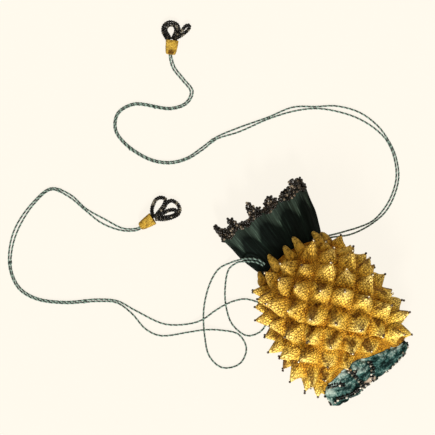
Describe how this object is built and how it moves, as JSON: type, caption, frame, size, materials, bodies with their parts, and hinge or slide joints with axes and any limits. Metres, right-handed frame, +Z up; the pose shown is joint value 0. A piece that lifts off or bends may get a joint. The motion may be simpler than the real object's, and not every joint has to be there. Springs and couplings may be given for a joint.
{
  "type": "reticule",
  "caption": "Knitted drawstring bag in the form of a pineapple, lying on its side: hollow spikes, a fluted dark mouth edged with beads, a blue-green base, and cords with bead tassels laid out.",
  "frame": {"origin": "middle of the flat underside that the bag rests on", "axes": "+Y along the bag from its base to its mouth, +X to the right seen from above with the mouth ahead, +Z up"},
  "size_m": [0.3532, 0.3732, 0.0776],
  "materials": {
    "yellow_knit": "knitted silk or cotton, matte with a slight sheen",
    "teal_knit": "knitted, matte, worn",
    "dark_leaf": "knitted, matte, streaked with grey-green",
    "dark_bead": "glossy seed beads",
    "green_cord": "twisted cord in a light and a dark green"
  },
  "bodies": {
    "root": {"bag_body": "yellow_knit", "base_calyx": "teal_knit", "leaf_crown": "dark_leaf", "crown_edging": "dark_bead", "right_strand_a": "green_cord", "right_strand_b": "green_cord", "left_strand_a": "green_cord", "left_strand_b": "green_cord", "right_tassel_cap": "yellow_knit", "left_tassel_cap": "yellow_knit", "right_tassel_loops": "dark_bead", "left_tassel_loops": "dark_bead"}
  },
  "joints": []
}
